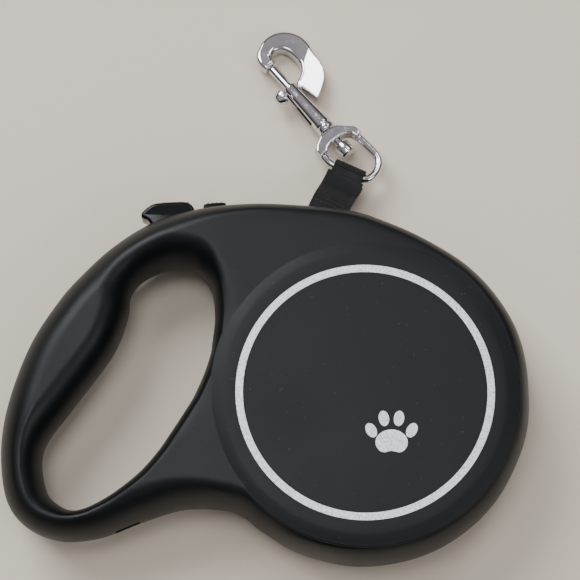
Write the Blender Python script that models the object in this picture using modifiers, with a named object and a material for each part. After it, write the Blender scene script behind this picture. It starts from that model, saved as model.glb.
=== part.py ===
"""A retractable tape leash lying flat: two casing shells with a loop handle, a sprung reel of tape with
its brake, and a swivel bolt snap on the sewn end of the tape.

Metres, +Z up. The origin is on the reel's axis, at the flat of the rear shell that the leash lies on.
+Y points away from the reel towards the tape's outlet and -X towards the handle.
"""

import math

import bmesh
import bpy
import numpy as np
from mathutils import Matrix, Vector

MM = 0.001
GAP = 0.3 * MM

# Casing
HALF_THICK = 17.0 * MM
MID = HALF_THICK
WALL = 2.2 * MM
DRUM_RADIUS = 52.0 * MM
BODY_RISE = 16.2 * MM
HANDLE_RISE = 13.2 * MM
PLATE_FLAT_RADIUS = 43.5 * MM
PLATE_RADIUS = 48.2 * MM
PLATE_SLOPE = 0.9 * MM
DRUM_EDGE = 5.5 * MM
HANDLE_EDGE = 10.0 * MM
GRIP_EDGE = 9.0 * MM
WEB_EDGE = 4.0 * MM
OUTLINE_STEPS = 60
EDGE_STEPS = 3
FACE_STEPS = 2

# The casing's outline and the hand hole, anticlockwise. Point i of one faces point i of the other.
# The drum's part of the outline is an arc, given by angles.
DRUM_ANGLES = (-128, -112, -90, -65, -40, -15, 5)
DRUM_FACING = ((-58.3, -7.5), (-56.0, -3.8), (-53.9, -0.4), (-52.4, 2.8), (-51.2, 5.6), (-50.1, 8.4),
               (-49.3, 10.8), (-48.5, 13.5))
OUTLINE = ((49.2, 19.8), (42.5, 32.4), (33.1, 42.6), (20.4, 50.9), (8.0, 56.7), (-4.2, 60.6), (-23.2, 62.5),
           (-38.0, 62.8), (-52.4, 61.4), (-66.8, 57.3), (-79.2, 49.6), (-89.3, 40.2), (-96.9, 31.2),
           (-105.4, 17.2), (-111.7, -1.0), (-113.7, -16.0), (-111.7, -31.2), (-105.5, -39.8),
           (-95.2, -44.2), (-82.5, -43.4), (-68.7, -38.2), (-55.0, -34.2), (-40.5, -35.2))
HAND_HOLE = ((-48.1, 15.2), (-47.7, 18.6), (-47.3, 21.8), (-47.0, 24.6), (-47.0, 27.6), (-47.3, 31.5),
             (-48.6, 36.3), (-53.2, 41.4), (-61.5, 42.7), (-69.8, 39.1), (-73.7, 33.8), (-74.7, 26.5), (-79.2, 14.8), (-91.0, -1.8),
             (-100.2, -15.5), (-99.3, -28.3), (-94.8, -33.4), (-88.8, -34.9), (-80.0, -30.9),
             (-70.6, -23.7), (-64.5, -16.8), (-60.7, -11.2))
HOLE_CENTRE = (-73.0, 4.0)
HOLE_ACROSS = (0.85, -0.53)

# Reel
AXLE_RADIUS = 2.5 * MM
AXLE_FIT = 0.06 * MM
BOSS_RADIUS = 5.0 * MM
REEL_LOW = 8.8 * MM
FLANGE = 1.5 * MM
CHANNEL = 13.2 * MM
FLANGE_RADIUS = 41.0 * MM
CORE_OUTER = 19.7 * MM
CORE_INNER = 18.2 * MM
TAPE_INNER = 20.0 * MM
TAPE_OUTER = 35.6 * MM
TAPE_WIDTH = 12.0 * MM
TAPE_THICK = 0.8 * MM
TOOTH_COUNT = 24
TOOTH_ROOT = 37.5 * MM
TOOTH_HEIGHT = 3.5 * MM
TOOTH_PHASE = 0.42
ARBOR_RADIUS = 4.6 * MM
SPRING_TURNS = 5
SPRING_STRIP = 0.8 * MM

# Tape outlet. The tape leaves the coil along TAPE_ANGLE.
TAPE_ANGLE = math.radians(65.2)
INSERT_ALONG = -10.2 * MM
MOUTH = (-11.1, 61.9)
MOUTH_WIDTH = 13.4 * MM

# Tape end, in its own frame: x across the tape, y along it from the mouth, z up from the middle plane
SLEEVE_WIDTH = (12.4 * MM, 10.4 * MM)
SLEEVE_LENGTH = 19.3 * MM
SLEEVE_DROP = 8.3 * MM
FOLD_RADIUS = 2.5 * MM
EYE_WIRE = 1.35 * MM
HINGE_ALONG = 16.8 * MM
SNAP_TILT = math.radians(-9.6)

# Snap, in its own frame: x from the swivel towards the hook's crown, y to the left, z up
SNAP_ANGLE = math.radians(154.6)
SNAP_ORIGIN = (-12.2, 10.65)
BARREL_LENGTH = 20.2 * MM
BARREL_RADII = (3.2 * MM, 2.4 * MM)
BORE_RADIUS = 1.75 * MM
BOLT_RADIUS = 1.55 * MM
BOLT_END = 28.6 * MM
BOLT_TRAVEL = 6.8 * MM
HOOK_THICK = 4.2 * MM

# Brake
BUTTON_PIVOT = (-64.5, 54.6)
PAWL_PIVOT = (-14.0, 42.5)
PIN_RADIUS = 1.15 * MM
PAWL_LEVEL = -10.1 * MM

# Screw columns: x, y and radius
SCREWS = ((-102.0, -4.0, 3.6), (-77.6, 42.4, 3.6), (-55.5, -24.5, 3.6), (12.3, 46.2, 3.4), (31.1, -32.5, 3.2))


def mm(x, y, z=0.0):
    return Vector((x * MM, y * MM, z * MM))


# ---------------------------------------------------------------- scene and materials


def clear_scene():
    for obj in list(bpy.data.objects):
        bpy.data.objects.remove(obj, do_unlink=True)


def collection(name):
    made = bpy.data.collections.new(name)
    bpy.context.scene.collection.children.link(made)
    return made


def material(name, colour, roughness, metallic=0.0):
    made = bpy.data.materials.new(name)
    made.use_nodes = True
    shader = made.node_tree.nodes["Principled BSDF"]
    shader.inputs["Base Color"].default_value = (*colour, 1.0)
    shader.inputs["Roughness"].default_value = roughness
    shader.inputs["Metallic"].default_value = metallic
    return made


clear_scene()
PARTS = collection("retractable_leash")
CUTTERS = collection("cutters")

SOFT_BLACK = (0.022, 0.023, 0.025)
CASING_BLACK = material("casing_black", SOFT_BLACK, 0.55)
GLOSS_BLACK = material("gloss_black", (0.012, 0.012, 0.014), 0.15)
TAPE_BLACK = material("tape_black", (0.018, 0.018, 0.02), 0.8)
REEL_GREY = material("reel_grey", (0.35, 0.36, 0.37), 0.5)
BUSH_WHITE = material("bush_white", (0.75, 0.75, 0.72), 0.4)
CHROME = material("chrome", (0.62, 0.6, 0.6), 0.12, 1.0)
STEEL = material("steel", (0.55, 0.55, 0.56), 0.3, 1.0)
SPRING_STEEL = material("spring_steel", (0.3, 0.31, 0.34), 0.35, 1.0)


def add(name, mesh, look=None, parent=None):
    """Puts the mesh in the scene as a part or, with no material, as a cutter."""
    obj = bpy.data.objects.new(name, mesh)
    if look is None:
        CUTTERS.objects.link(obj)
        obj.hide_render = True
        obj.display_type = "WIRE"
    else:
        PARTS.objects.link(obj)
        mesh.materials.clear()
        mesh.materials.append(look)
    if parent is not None:
        obj.parent = parent
    return obj


def empty(name, matrix, parent=None):
    made = bpy.data.objects.new(name, None)
    PARTS.objects.link(made)
    made.parent = parent
    made.matrix_local = matrix
    return made


def boolean(obj, other, operation="DIFFERENCE", solver="EXACT"):
    modifier = obj.modifiers.new(operation.lower(), "BOOLEAN")
    modifier.operation = operation
    modifier.object = other
    modifier.solver = solver


def smooth(obj, angle=35):
    obj.data.shade_smooth()
    obj.data.set_sharp_from_angle(angle=math.radians(angle))


# ---------------------------------------------------------------- basic shapes


def box(name, centre, size, look=None, parent=None, turn=0.0):
    mesh = bpy.data.meshes.new(name)
    bm = bmesh.new()
    bmesh.ops.create_cube(bm, size=1.0, matrix=Matrix.Diagonal((*size, 1.0)))
    bm.to_mesh(mesh)
    bm.free()
    obj = add(name, mesh, look, parent)
    obj.location = centre
    obj.rotation_euler.z = turn
    return obj


def cylinder(name, start, end, radius, look=None, parent=None, sides=24, end_radius=None):
    """A cylinder or cone from one point to another."""
    start, end = Vector(start), Vector(end)
    mesh = bpy.data.meshes.new(name)
    bm = bmesh.new()
    bmesh.ops.create_cone(bm, cap_ends=True, segments=sides, radius1=radius,
                          radius2=radius if end_radius is None else end_radius,
                          depth=(end - start).length)
    bm.to_mesh(mesh)
    bm.free()
    obj = add(name, mesh, look, parent)
    obj.location = (start + end) / 2
    obj.rotation_euler = (end - start).to_track_quat("Z", "Y").to_euler()
    smooth(obj)
    return obj


def turned(name, profile, look=None, parent=None, steps=32):
    """Turns a closed profile of (radius, height) about Z. The profile runs down its outer side."""
    mesh = bpy.data.meshes.new(name)
    count = len(profile)
    closed = all(radius > 0 for radius, _ in profile)
    edges = [(i, i + 1) for i in range(count - 1)] + ([(count - 1, 0)] if closed else [])
    mesh.from_pydata([(radius, 0, height) for radius, height in profile], edges, [])
    obj = add(name, mesh, look, parent)
    screw = obj.modifiers.new("turn", "SCREW")
    screw.steps = screw.render_steps = steps
    screw.use_merge_vertices = True
    screw.merge_threshold = 0.00001
    return obj


def meshed(obj):
    """Turns a curve object into a mesh object in the same place, with its caps welded."""
    bpy.context.view_layer.update()
    graph = bpy.context.evaluated_depsgraph_get()
    mesh = bpy.data.meshes.new_from_object(obj.evaluated_get(graph))
    bm = bmesh.new()
    bm.from_mesh(mesh)
    bmesh.ops.remove_doubles(bm, verts=bm.verts, dist=0.000001)
    bmesh.ops.recalc_face_normals(bm, faces=bm.faces)
    bm.to_mesh(mesh)
    bm.free()
    name, parent, place = obj.name, obj.parent, obj.matrix_local.copy()
    look = obj.data.materials[0] if obj.data.materials else None
    bpy.data.objects.remove(obj, do_unlink=True)
    made = add(name, mesh, look, parent)
    made.matrix_local = place
    return made


def tube(name, points, radius, look, parent=None, cyclic=False, resolution=1):
    """A wire through the points, as a bevelled curve made into a mesh."""
    curve = bpy.data.curves.new(name, "CURVE")
    curve.dimensions = "3D"
    curve.bevel_depth = radius
    curve.bevel_resolution = resolution
    curve.use_fill_caps = True
    spline = curve.splines.new("POLY")
    spline.points.add(len(points) - 1)
    for point, place in zip(spline.points, points):
        point.co = (*place, 1.0)
    spline.use_cyclic_u = cyclic
    obj = bpy.data.objects.new(name, curve)
    PARTS.objects.link(obj)
    obj.parent = parent
    if look is not None:
        curve.materials.append(look)
    return meshed(obj)


def flat(name, outlines, thickness, look=None, parent=None, bevel=0.0, height=0.0):
    """A plate of the given thickness about z = height. Outlines after the first are holes."""
    curve = bpy.data.curves.new(name, "CURVE")
    curve.dimensions = "2D"
    curve.fill_mode = "BOTH"
    curve.extrude = thickness / 2 - bevel
    curve.bevel_depth = bevel
    curve.bevel_resolution = 1
    curve.offset = -bevel
    for outline in outlines:
        spline = curve.splines.new("POLY")
        spline.points.add(len(outline) - 1)
        for point, (x, y) in zip(spline.points, outline):
            point.co = (x, y, 0.0, 1.0)
        spline.use_cyclic_u = True
    obj = bpy.data.objects.new(name, curve)
    PARTS.objects.link(obj)
    obj.parent = parent
    obj.location.z = height
    if look is not None:
        curve.materials.append(look)
    return meshed(obj)


def arc(centre, radius, first, last, steps):
    """Points on an arc, with angles in degrees."""
    angles = np.radians(np.linspace(first, last, steps + 1))
    return [(centre[0] + radius * math.cos(a), centre[1] + radius * math.sin(a)) for a in angles]


def closed_curve(points, count):
    """Evenly parametrised points on a smooth closed curve through the given ones."""
    points = np.asarray(points, float)
    total = len(points)
    made = []
    for step in range(count):
        place = step * total / count
        i = int(place)
        t = place - i
        before, here, after, later = (points[(i + k) % total] for k in (-1, 0, 1, 2))
        made.append(0.5 * (2 * here + (after - before) * t
                           + (2 * before - 5 * here + 4 * after - later) * t * t
                           + (3 * here - before - 3 * after + later) * t ** 3))
    return np.array(made)


# ---------------------------------------------------------------- casing


def casing_curves(count):
    """The casing's outline and its hand hole, as points that face each other."""
    drum = [(DRUM_RADIUS / MM * math.cos(math.radians(a)), DRUM_RADIUS / MM * math.sin(math.radians(a)))
            for a in DRUM_ANGLES]
    return (closed_curve(drum + list(OUTLINE), count) * MM,
            closed_curve(list(DRUM_FACING) + list(HAND_HOLE), count) * MM)


def ramp(value, low, high):
    t = np.clip((value - low) / (high - low), 0.0, 1.0)
    return t * t * (3 - 2 * t)


def distance_to(points, curve):
    """Each point's distance to a closed polyline."""
    start = curve[None, :, :]
    along = np.roll(curve, -1, axis=0)[None, :, :] - start
    offset = points[:, None, :] - start
    t = np.clip((offset * along).sum(2) / (along ** 2).sum(2), 0.0, 1.0)
    return np.sqrt(((offset - t[..., None] * along) ** 2).sum(2)).min(1)


def edge_widths(points):
    """How wide the rounded edge is at each point: (from the outline, from the hand hole)."""
    outer = DRUM_EDGE + (HANDLE_EDGE - DRUM_EDGE) * ramp(-points[:, 0], 30 * MM, 75 * MM)
    across = ((points - np.array(HOLE_CENTRE) * MM) * np.array(HOLE_ACROSS)).sum(1)
    inner = GRIP_EDGE + (WEB_EDGE - GRIP_EDGE) * ramp(across, -6 * MM, 10 * MM)
    return outer, inner


def quarter_round(share):
    return np.sqrt(1 - (1 - np.clip(share, 0.0, 1.0)) ** 2)


def casing_rise(points, outline, hole, inset=0.0):
    """How far the casing's face stands above the parting plane at each point."""
    outer, inner = edge_widths(points)
    full = BODY_RISE + (HANDLE_RISE - BODY_RISE) * ramp(-points[:, 0], 45 * MM, 100 * MM)
    return ((full - inset) * quarter_round(distance_to(points, outline) / (outer - inset))
            * quarter_round(distance_to(points, hole) / (inner - inset)))


def inset_curve(curve, distance):
    """The closed curve moved to its left by the distance."""
    along = np.roll(curve, -1, axis=0) - np.roll(curve, 1, axis=0)
    along /= np.linalg.norm(along, axis=1)[:, None]
    return curve + distance * np.column_stack([-along[:, 1], along[:, 0]])


def row_places(width, outer, inner):
    """Where the rows of a column lie, from 0 at the outline to 1 at the hand hole."""
    share = min(1.0, 0.96 * width / (outer + inner))
    turn = 1 - np.cos(np.linspace(0, math.pi / 2, EDGE_STEPS + 1))
    first = turn * outer * share / width
    last = 1 - turn[::-1] * inner * share / width
    middle = np.linspace(first[-1], last[0], FACE_STEPS + 2)[1:-1]
    return np.concatenate([first, middle, last])


def casing_block(name, inset, look=None):
    """The whole casing as a solid ring round the hand hole, or with an inset the cavity inside it.

    Each column runs over the front from the outline to the hand hole and back over the rear."""
    outline, hole = casing_curves(OUTLINE_STEPS)
    outline, hole = inset_curve(outline, inset), inset_curve(hole, -inset)
    outer = edge_widths(outline)[0] - inset
    inner = edge_widths(hole)[1] - inset
    rows = np.array([row_places(np.linalg.norm(hole[i] - outline[i]), outer[i], inner[i])
                     for i in range(OUTLINE_STEPS)])
    places = outline[:, None, :] + rows[:, :, None] * (hole - outline)[:, None, :]
    across = places.shape[1]
    rise = casing_rise(places.reshape(-1, 2), outline, hole, inset).reshape(-1, across)
    rise[:, 0] = rise[:, -1] = 0.0
    front = np.dstack([places, MID + rise])
    rear = np.dstack([places, MID - rise])[:, across - 2:0:-1]
    points = np.concatenate([front, rear], axis=1)
    around = points.shape[1]
    faces = []
    for i in range(OUTLINE_STEPS):
        j = (i + 1) % OUTLINE_STEPS
        for k in range(around):
            n = (k + 1) % around
            faces.append((i * around + k, j * around + k, j * around + n, i * around + n))
    mesh = bpy.data.meshes.new(name)
    mesh.from_pydata([tuple(p) for p in points.reshape(-1, 3)], [], faces)
    return add(name, mesh, look)


def shell(name, side, cavity):
    """One half of the casing. side is 1 for the front and -1 for the rear."""
    obj = casing_block(name, 0.0, CASING_BLACK)
    half = box(name + "_half", mm(-30, 10, 0) + Vector((0, 0, MID + side * (20 * MM + GAP / 2))),
               mm(220, 180, 40))
    boolean(obj, half, "INTERSECT")
    boolean(obj, cavity)
    return obj


def casing_details(obj, side):
    """Adds the round plate, the axle's boss and the screw columns to a shell."""
    face = side * HALF_THICK

    def profile(*points):
        return [(r, h) for r, h in (points if side > 0 else points[::-1])]

    plate = turned(obj.name + "_plate", profile(
        (0.0, face), (PLATE_FLAT_RADIUS, face), (PLATE_RADIUS - 0.4 * MM, face - side * PLATE_SLOPE),
        (PLATE_RADIUS, face - side * (PLATE_SLOPE + 0.4 * MM)), (PLATE_RADIUS, face - side * 2.6 * MM),
        (0.0, face - side * 2.6 * MM)), steps=64)
    plate.location.z = MID
    boolean(obj, plate, "UNION")
    boss_end = MID - REEL_LOW + GAP if side < 0 else REEL_LOW + 2 * FLANGE + CHANNEL + GAP - MID
    post(obj, side, "boss", (0, 0), BOSS_RADIUS, boss_end, 24)
    for i, (x, y, radius) in enumerate(SCREWS):
        post(obj, side, f"column_{i + 1}", (x, y), radius * MM, GAP / 2)
    post(obj, side, "button_post", BUTTON_PIVOT, 2.6 * MM, 4.7 * MM)
    if side < 0:
        post(obj, side, "pawl_post", PAWL_PIVOT, 2.6 * MM, -PAWL_LEVEL + 1.5 * MM + GAP)
    saddle = box(obj.name + "_saddle", along_tape(INSERT_ALONG, 0, side * 11.4 * MM),
                 (14.0 * MM, 5.0 * MM, 6.8 * MM), turn=TAPE_ANGLE - math.pi / 2)
    boolean(obj, saddle, "UNION")


def post(obj, side, label, place, radius, end, sides=16):
    """A column from inside a shell's face to the given distance from the parting plane."""
    outline, hole = casing_curves(OUTLINE_STEPS)
    rim = np.array([(place[0] * MM + radius * math.cos(a), place[1] * MM + radius * math.sin(a))
                    for a in np.linspace(0, 2 * math.pi, 9)])
    face = casing_rise(rim, outline, hole).min() - WALL / 3
    start = mm(*place) + Vector((0, 0, MID + side * face))
    column = cylinder(f"{obj.name}_{label}", start, mm(*place) + Vector((0, 0, MID + side * end)), radius,
                      sides=sides)
    boolean(obj, column, "UNION")


def along_tape(distance, across=0.0, up=0.0):
    """A point in the world from its place along the tape, past the mouth, and across it."""
    u = Vector((math.cos(TAPE_ANGLE), math.sin(TAPE_ANGLE), 0))
    right = Vector((u.y, -u.x, 0))
    return mm(*MOUTH) + Vector((0, 0, MID + up)) + u * distance + right * across


def casing_openings(obj):
    """Cuts the tape's mouth, the button's and the lock's slots and the socket under the handle."""
    mouth = box(obj.name + "_mouth", along_tape(0), (MOUTH_WIDTH, 16 * MM, MOUTH_WIDTH),
                turn=TAPE_ANGLE - math.pi / 2)
    boolean(obj, mouth)
    button = box(obj.name + "_button_slot", mm(-61.9, 58.7, 17), mm(20.6, 12.4, 9.7),
                 turn=math.radians(16.5))
    boolean(obj, button, solver="MANIFOLD")
    lock = box(obj.name + "_lock_slot", mm(-48.1, 63.0, 17), mm(9.8, 8.0, 7.2))
    boolean(obj, lock)
    socket = box(obj.name + "_socket", mm(-73.6, -40.2, 17), mm(8.2, 3.4, 3.8), turn=math.radians(20))
    boolean(obj, socket)


def casing_bores(obj, side):
    """Cuts the holes for the axle, the pins and the screws."""
    axle = cylinder(obj.name + "_axle_hole", (0, 0, MID - side * 20 * MM), (0, 0, MID + side * 13.6 * MM),
                    AXLE_RADIUS + AXLE_FIT)
    boolean(obj, axle)
    pin = cylinder(obj.name + "_pin_hole", mm(*BUTTON_PIVOT, 9.8), mm(*BUTTON_PIVOT, 24.2),
                   PIN_RADIUS + AXLE_FIT, sides=16)
    boolean(obj, pin)
    if side < 0:
        boolean(obj, cylinder("rear_pawl_hole", mm(*PAWL_PIVOT, 2.9), mm(*PAWL_PIVOT, 9), PIN_RADIUS + AXLE_FIT,
                              sides=16))
    for i, (x, y, _) in enumerate(SCREWS):
        if side < 0:
            boolean(obj, cylinder(f"{obj.name}_head_{i + 1}", mm(x, y, -1), mm(x, y, 8.3), 2.5 * MM, sides=16))
            boolean(obj, cylinder(f"{obj.name}_shank_{i + 1}", mm(x, y, 8), mm(x, y, 17), 1.6 * MM, sides=12))
        else:
            boolean(obj, cylinder(f"{obj.name}_thread_{i + 1}", mm(x, y, 16), mm(x, y, 26.2), 1.35 * MM,
                                  sides=12))


def casing():
    cavity = casing_block("cavity", WALL)
    for name, side in (("rear_casing", -1), ("front_casing", 1)):
        obj = shell(name, side, cavity)
        casing_openings(obj)
        casing_details(obj, side)
        casing_bores(obj, side)
        smooth(obj)


def casing_screws():
    for i, (x, y, _) in enumerate(SCREWS):
        name = f"casing_screw_{i + 1}"
        head, shank, thread = 2.2 * MM, 1.3 * MM, 1.05 * MM
        bottom, seat, step, tip = 5.4 * MM, 8.0 * MM, 16.5 * MM, 25.6 * MM
        screw = turned(name, [(0, tip), (thread, tip - 0.8 * MM), (thread, step), (shank, step - 0.3 * MM),
                              (shank, seat), (head, seat), (head, bottom), (0, bottom)], STEEL, steps=16)
        screw.location = mm(x, y)
        for turn in (0, 90):
            slot = box(f"{name}_slot_{turn}", mm(x, y, 5.4), (3.2 * MM, 0.7 * MM, 1.6 * MM),
                       turn=math.radians(turn + 20))
            boolean(screw, slot)


# ---------------------------------------------------------------- reel


def reel():
    """The reel on its axle: drum with brake teeth, cover, bushes, mainspring and wound tape."""
    low, high = REEL_LOW, REEL_LOW + 2 * FLANGE + CHANNEL
    bush_radius = AXLE_RADIUS + 1.6 * MM
    cylinder("reel_axle", (0, 0, 3.9 * MM), (0, 0, 30.1 * MM), AXLE_RADIUS, STEEL)
    for name, base in (("reel_bush_rear", low), ("reel_bush_front", high - FLANGE)):
        turned(name, [(bush_radius, base + FLANGE), (bush_radius, base), (AXLE_RADIUS + AXLE_FIT, base),
                      (AXLE_RADIUS + AXLE_FIT, base + FLANGE)], BUSH_WHITE, steps=24)
    drum = turned("reel_drum", [
        (CORE_INNER, high - FLANGE - GAP), (CORE_OUTER, high - FLANGE - GAP), (CORE_OUTER, low + FLANGE),
        (FLANGE_RADIUS, low + FLANGE), (FLANGE_RADIUS, low), (bush_radius + GAP, low),
        (bush_radius + GAP, low + FLANGE), (CORE_INNER, low + FLANGE)], REEL_GREY, steps=48)
    teeth = flat("brake_teeth", [brake_teeth(), arc((0, 0), TOOTH_ROOT - 2 * MM, 360, 7.5, 47)],
                 TOOTH_HEIGHT + 0.4 * MM, height=low - TOOTH_HEIGHT / 2 + 0.2 * MM)
    boolean(drum, teeth, "UNION")
    turned("reel_cover", [(FLANGE_RADIUS, high), (FLANGE_RADIUS, high - FLANGE),
                          (bush_radius + GAP, high - FLANGE), (bush_radius + GAP, high)],
           REEL_GREY, steps=48)
    half = TAPE_WIDTH / 2
    turned("wound_tape", [(TAPE_OUTER, MID + half), (TAPE_OUTER, MID - half), (TAPE_INNER, MID - half),
                          (TAPE_INNER, MID + half)], TAPE_BLACK, steps=48)
    spring_low, spring_high = low + FLANGE + 0.5 * MM, high - FLANGE - 0.8 * MM
    turned("spring_arbor", [(ARBOR_RADIUS, spring_high), (ARBOR_RADIUS, spring_low),
                            (AXLE_RADIUS + AXLE_FIT, spring_low), (AXLE_RADIUS + AXLE_FIT, spring_high)],
           STEEL, steps=24)
    mainspring(spring_low, spring_high)


def brake_teeth():
    """Saw teeth round the rim, leaning the way the reel turns as the tape is pulled out."""
    points = []
    for i in range(TOOTH_COUNT):
        start = 2 * math.pi * (i + TOOTH_PHASE) / TOOTH_COUNT
        step = 2 * math.pi / TOOTH_COUNT
        for share, radius in ((0.0, TOOTH_ROOT), (0.5, TOOTH_ROOT), (0.62, FLANGE_RADIUS),
                              (0.84, FLANGE_RADIUS)):
            angle = start + share * step
            points.append((radius * math.cos(angle), radius * math.sin(angle)))
    return points


def mainspring(low, high):
    """A spiral strip from the arbor to the drum's wall."""
    steps = SPRING_TURNS * 20
    inner, outer = ARBOR_RADIUS + GAP + SPRING_STRIP / 2, CORE_INNER - GAP - SPRING_STRIP / 2
    angles = np.linspace(0, SPRING_TURNS * 2 * math.pi, steps + 1)
    radii = np.linspace(inner, outer, steps + 1)
    near = [((r - SPRING_STRIP / 2) * math.cos(a), (r - SPRING_STRIP / 2) * math.sin(a))
            for r, a in zip(radii, angles)]
    far = [((r + SPRING_STRIP / 2) * math.cos(a), (r + SPRING_STRIP / 2) * math.sin(a))
           for r, a in zip(radii, angles)]
    flat("mainspring", [far + near[::-1]], high - low, SPRING_STEEL, height=(low + high) / 2)


# ---------------------------------------------------------------- brake and lock


def brake():
    """Thumb button, pawl with its pin, return spring and lock slider."""
    pivot = empty("button_axis", Matrix.Translation(mm(*BUTTON_PIVOT, 17)))
    px, py = BUTTON_PIVOT
    lever = ((-70.4, 58.9), (-69.9, 61.2), (-66.8, 63.1), (-61.0, 64.0), (-56.0, 63.9), (-53.9, 62.2),
             (-53.0, 59.2), (-51.5, 56.4), (-43.0, 54.2), (-42.0, 52.2), (-43.0, 50.6), (-46.5, 50.6),
             (-53.0, 52.0), (-61.5, 52.2), (-63.5, 51.5), (-66.0, 51.7), (-67.3, 53.6), (-67.2, 56.6))
    button = flat("brake_button", [[((x - px) * MM, (y - py) * MM) for x, y in lever]], 8.8 * MM,
                  GLOSS_BLACK, pivot, bevel=0.7 * MM)
    hole = cylinder("button_pin_hole", mm(*BUTTON_PIVOT, 10), mm(*BUTTON_PIVOT, 24), PIN_RADIUS + AXLE_FIT,
                    sides=16)
    boolean(button, hole)
    cylinder("button_pin", mm(*BUTTON_PIVOT, 10.1), mm(*BUTTON_PIVOT, 23.9), PIN_RADIUS, STEEL, sides=16)

    axis = empty("pawl_axis", Matrix.Translation(mm(*PAWL_PIVOT, 17)))
    qx, qy = PAWL_PIVOT
    arm = ((-13.2, 45.2), (-16.0, 46.0), (-42.0, 50.3), (-44.4, 49.4), (-44.0, 47.0), (-36.0, 42.5),
           (-31.5, 37.0), (-27.3, 31.3), (-26.1, 32.4), (-24.6, 36.0), (-20.0, 39.6), (-16.3, 40.9),
           (-14.0, 40.3), (-11.8, 41.4), (-11.4, 43.6))
    pawl = flat("brake_pawl", [[((x - qx) * MM, (y - qy) * MM) for x, y in arm]], 3.0 * MM, GLOSS_BLACK,
                axis, height=PAWL_LEVEL)
    upright = cylinder("pawl_upright", mm(-42.9 - qx, 48.6 - qy, -11.2), mm(-42.9 - qx, 48.6 - qy, 3.0),
                       1.65 * MM, None, axis, sides=16)
    boolean(pawl, upright, "UNION")
    boolean(pawl, cylinder("pawl_pin_hole", mm(*PAWL_PIVOT, 4), mm(*PAWL_PIVOT, 12), PIN_RADIUS + AXLE_FIT,
                           sides=16))
    cylinder("pawl_pin", mm(*PAWL_PIVOT, 3.2), mm(*PAWL_PIVOT, 9.2), PIN_RADIUS, STEEL, sides=16)

    turns, steps = 3, 12
    low, high, coil = 45.9, 51.2, 1.9
    helix = [mm(-56.5 + coil * math.cos(2 * math.pi * i / steps), low + (high - low) * i / (turns * steps),
                17 + coil * math.sin(2 * math.pi * i / steps)) for i in range(turns * steps + 1)]
    tube("button_spring", helix, 0.35 * MM, SPRING_STEEL)

    slider = flat("lock_slider", [[(x * MM, y * MM) for x, y in
                  ((-50.9, 62.2), (-50.4, 63.5), (-44.2, 63.9), (-43.6, 62.9), (-43.6, 58.3), (-49.2, 58.3), (-50.9, 60.4))]],
                  6.6 * MM, GLOSS_BLACK, height=MID)
    foot = box("slider_foot", mm(-46.4, 58.6, 17), mm(5.6, 0.8, 8.0))
    boolean(slider, foot, "UNION")
    smooth(slider, 30)


# ---------------------------------------------------------------- tape and its outlet


def tape_section(distance, twist, width, thick):
    """The four corners of the tape at a place along it, turned about its run."""
    cos, sin = math.cos(twist), math.sin(twist)
    corners = []
    for a, b in ((-1, -1), (1, -1), (1, 1), (-1, 1)):
        across, up = a * thick / 2, b * width / 2
        corners.append(along_tape(distance, across * cos + up * sin, up * cos - across * sin))
    return corners


def loft(name, sections, look, parent=None):
    """A solid through equal rings of corners, with flat ends."""
    count = len(sections[0])
    points = [tuple(corner) for section in sections for corner in section]
    faces = [tuple(range(count))[::-1], tuple(range(len(points) - count, len(points)))]
    for s in range(len(sections) - 1):
        for k in range(count):
            a, b = s * count + k, s * count + (k + 1) % count
            faces.append((a, b, b + count, a + count))
    mesh = bpy.data.meshes.new(name)
    mesh.from_pydata(points, [], faces)
    bm = bmesh.new()
    bm.from_mesh(mesh)
    bmesh.ops.recalc_face_normals(bm, faces=bm.faces)
    bmesh.ops.triangulate(bm, faces=bm.faces)
    bm.to_mesh(mesh)
    bm.free()
    return add(name, mesh, look, parent)


def tape():
    """The straight run from the coil, the quarter twist in the mouth, and the sewn loop outside it."""
    tangent = -math.sqrt(Vector(MOUTH).length ** 2 - (TAPE_OUTER / MM) ** 2) * MM
    straight, twisted = -10.5 * MM, -0.6 * MM
    sections = [tape_section(tangent + 2.5 * MM, 0, TAPE_WIDTH, TAPE_THICK),
                tape_section(straight, 0, TAPE_WIDTH, TAPE_THICK)]
    steps = 14
    for i in range(1, steps + 1):
        share = i / steps
        sections.append(tape_section(straight + (twisted - straight) * share,
                                     math.pi / 2 * share * share * (3 - 2 * share), TAPE_WIDTH, TAPE_THICK))
    loft("tape_strip", sections, TAPE_BLACK)
    tape_loop()
    insert = box("mouth_insert", along_tape(INSERT_ALONG), (15.0 * MM, 8.2 * MM, 15.2 * MM), CASING_BLACK,
                 turn=TAPE_ANGLE - math.pi / 2)
    boolean(insert, box("throat", along_tape(INSERT_ALONG), (2.2 * MM, 20 * MM, 12.8 * MM),
                        turn=TAPE_ANGLE - math.pi / 2))
    boolean(insert, box("funnel", along_tape(-1.4 * MM), (13.0 * MM, 18 * MM, 12.8 * MM),
                        turn=TAPE_ANGLE - math.pi / 2))


def tape_drop(distance):
    """How far the tape end has sunk below the middle plane at a place past the mouth."""
    t = min(max((distance - 1.5 * MM) / (12.5 * MM), 0.0), 1.0)
    return -SLEEVE_DROP * t * t * (3 - 2 * t)


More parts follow.
